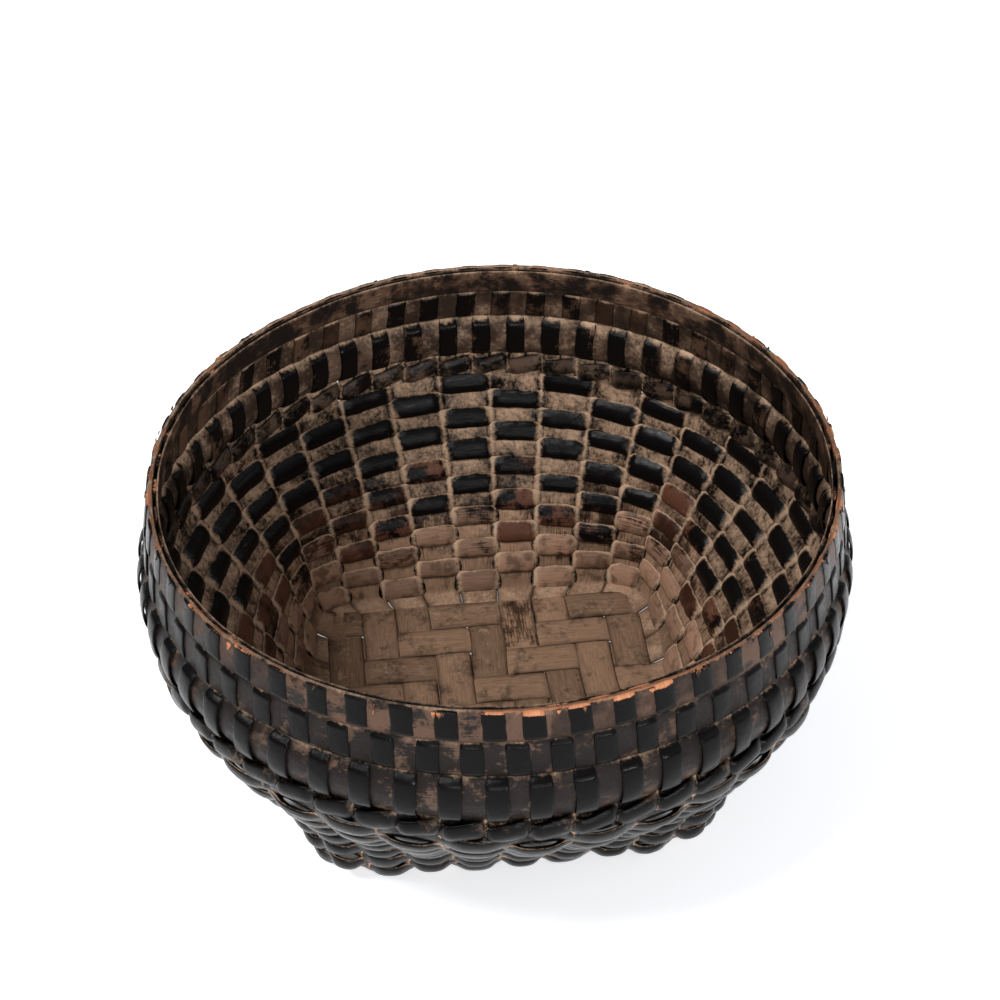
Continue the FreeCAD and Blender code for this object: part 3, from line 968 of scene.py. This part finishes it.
def strand(phase):
    """One strand; its partner is the same, half a twist behind."""
    turn = np.arange(bights * bight_steps) / bight_steps
    place = -4.5 + 2 / 3 * (turn - 0.5) + 1 / 3
    way = swap(turn + phase, 2.4)
    rise = weave_top + twine_row / 2 + np.sin(np.pi * (turn + phase)) * twist_up
    mid, out = wall(place, rise), outward(place, rise)
    mid = mid + out * (way * twist_out)[:, None]
    ahead = unit(np.roll(mid, -1, axis=0) - np.roll(mid, 1, axis=0))
    up = unit(np.cross(out, ahead))
    half = 0.0050 + 0.0006 * np.abs(way) ** 2 + drift(210 + phase, turn, 0.0003, 0.5)
    worn = np.where(way > 0, 0.15 + 0.5 * ((turn + 0.5) % 1), 0.5)
    runs = [run(mid, up * half[:, None], out, True, worn=worn,
                dust=0.5 * (1 - np.abs(way)) + 0.1, tone=drift(77 + phase, turn, 0.5) % 1)]
    return lay("twined_strand_%d" % (phase + 1), runs, twine_finish,
               strand_thickness, 0.0015, 0.0003)


strands = [strand(phase) for phase in (0, 1)]
print("twined strands:", len(strands))


# %% [markdown]
# ## Hoops
# Four stiff rings: a fat bead that swells the wall inside and out, a flat hoop above it,
# the hoop inside the rim, and a thin inner band that covers the tongues' ends. They are
# the same band, only wider and without a weave. The inner band is laid the other way up,
# so that its upper edge is the worn one too.

# %% Hoops
hoop_steps = 720
bead_crown = (bead_thickness - hoop_thickness) / 2 + bead_swell


def hoop(name, low, high, offset, thickness, crown, finish, slot, flipped=False, raw=0.0,
         **looks):
    """A ring between two heights of the wall, a little in or out of its middle."""
    place = np.arange(hoop_steps) * stakes / hoop_steps
    centre, half = (low + high) / 2, (high - low) / 2
    mid = wall(place, np.full_like(place, centre))
    out = outward(place, np.full_like(place, centre))
    up = unit(wall(place, centre + half) - wall(place, centre - half))
    up = up * (-1 if flipped else 1)
    mid = mid + out * (offset + drift(30, place, 0.00015, 1.5))[:, None]
    runs = [run(mid, up * half, out, True, raw_edge=raw_at(place) * raw,
                tone=drift(60, place, 0.3, 3) % 1, **looks)]
    return lay(name, runs, finish, thickness, crown, 0.0003, 24)


bead_low, bead_high, _ = hoop_rows[0]
flat_low, flat_high, _ = hoop_rows[1]
rim_low, _, _ = hoop_rows[2]
reach = 0.0012
hoops = [
    hoop("bead_hoop", bead_low - 0.0015, bead_high + reach, 0.0, hoop_thickness, bead_crown,
         hoop_finish, "hoop_bamboo", worn=0.75, dust=0.44),
    hoop("wall_hoop", flat_low - reach, flat_high + reach, 0.0, 0.0026, 0.0002,
         hoop_finish, "hoop_bamboo", worn=0.75, dust=0.42),
    hoop("rim_core_hoop", rim_low - reach, wall_length + 0.0014, 0.0005, 0.0028, 0.0001,
         rim_finish, "rim_bamboo", raw=1.15, worn=0.7, dust=0.36, bare=0.05),
    hoop("inner_rim_hoop", rim_low, wall_length + 0.0006, -0.0030, strip_thickness, 0.0002,
         rim_finish, "rim_bamboo", True, 1.1, worn=0.52, dust=0.31, bare=0.34),
]
print("hoops:", len(hoops))

# %% [markdown]
# ## Table, light and camera
# The basket stands on a pale sheet that glows a little, so that it stays near white under
# the soft light. A large soft lamp comes from the upper left, a weaker one from the right
# and one from the front. The small low lamp in front is for the lacquer: black shows its
# gloss only when something small and bright is mirrored in it. The sky is kept dim, or
# the black would mirror it and turn grey.

# %% Table
sheet = bpy.data.meshes.new("pale_table")
sheet.from_pydata([(-4, -4, 0), (4, -4, 0), (4, 4, 0), (-4, 4, 0)], [], [(0, 1, 2, 3)])
table = bpy.data.objects.new("pale_table", sheet)
bpy.context.collection.objects.link(table)
paper = bpy.data.materials.new("pale_paper")
paper.use_nodes = True
paper_fields = paper.node_tree.nodes["Principled BSDF"].inputs
paper_fields["Base Color"].default_value = (0.9, 0.9, 0.91, 1)
paper_fields["Roughness"].default_value = 0.9
paper_fields["Emission Color"].default_value = (0.97, 0.98, 1, 1)
paper_fields["Emission Strength"].default_value = 0.48
sheet.materials.append(paper)
print("table:", table.name)

# %% Sky
surround = bpy.data.worlds.new("white_surround")
surround.use_nodes = True
sky = surround.node_tree
sky_way = sky.nodes.new("ShaderNodeTexCoord").outputs["Generated"]
sky_up = add(sky, "ShaderNodeSeparateXYZ", {0: sky_way}).outputs["Z"]
sky_fields = sky.nodes["Background"].inputs
sky_fields["Color"].default_value = (0.95, 0.965, 1.0, 1)
sky.links.new(ramp(sky, sky_up, 0.15, 0.75, 0.13, 0.42), sky_fields["Strength"])
bpy.context.scene.world = surround
print("sky:", surround.name)


# %% Lamps
def far_lamp(name, toward, strength, width, colour=(1, 1, 1)):
    """A lamp so far off that it lights evenly; width is its size in degrees."""
    lamp = bpy.data.lights.new(name, "SUN")
    lamp.energy, lamp.angle, lamp.color = strength, math.radians(width), colour
    holder = bpy.data.objects.new(name, lamp)
    holder.rotation_euler = Vector(toward).to_track_quat("Z", "Y").to_euler()
    bpy.context.collection.objects.link(holder)
    return holder


lamps = [far_lamp("big_soft_window", (-0.55, -0.18, 1.0), 2.3, 18),
         far_lamp("right_window", (0.90, -0.05, 0.32), 0.5, 30, (0.9, 0.94, 1.0)),
         far_lamp("front_soft_window", (0.05, -0.88, 0.58), 0.9, 24),
         far_lamp("small_low_window", (0.14, -0.95, 0.24), 1.7, 5)]
print("lamps:", [lamp.name for lamp in lamps])

# %% Camera
scene = bpy.context.scene
scene.view_settings.view_transform = "Standard"
camera = bpy.data.cameras.new("camera")
camera.sensor_width = 36.0
camera.lens = 74.7
camera.shift_x, camera.shift_y = 0.0023, -0.0388
eye = bpy.data.objects.new("camera", camera)
turn, tilt, distance = math.radians(-6.5), math.radians(39.92), 1.02
back = Vector((math.sin(turn) * math.cos(tilt), -math.cos(turn) * math.cos(tilt),
               math.sin(tilt)))
eye.location = Vector((0, 0, basket_height)) + back * distance
eye.rotation_euler = (-back).to_track_quat("-Z", "Y").to_euler()
bpy.context.collection.objects.link(eye)
scene.camera = eye
print("camera at", tuple(round(v, 3) for v in eye.location))
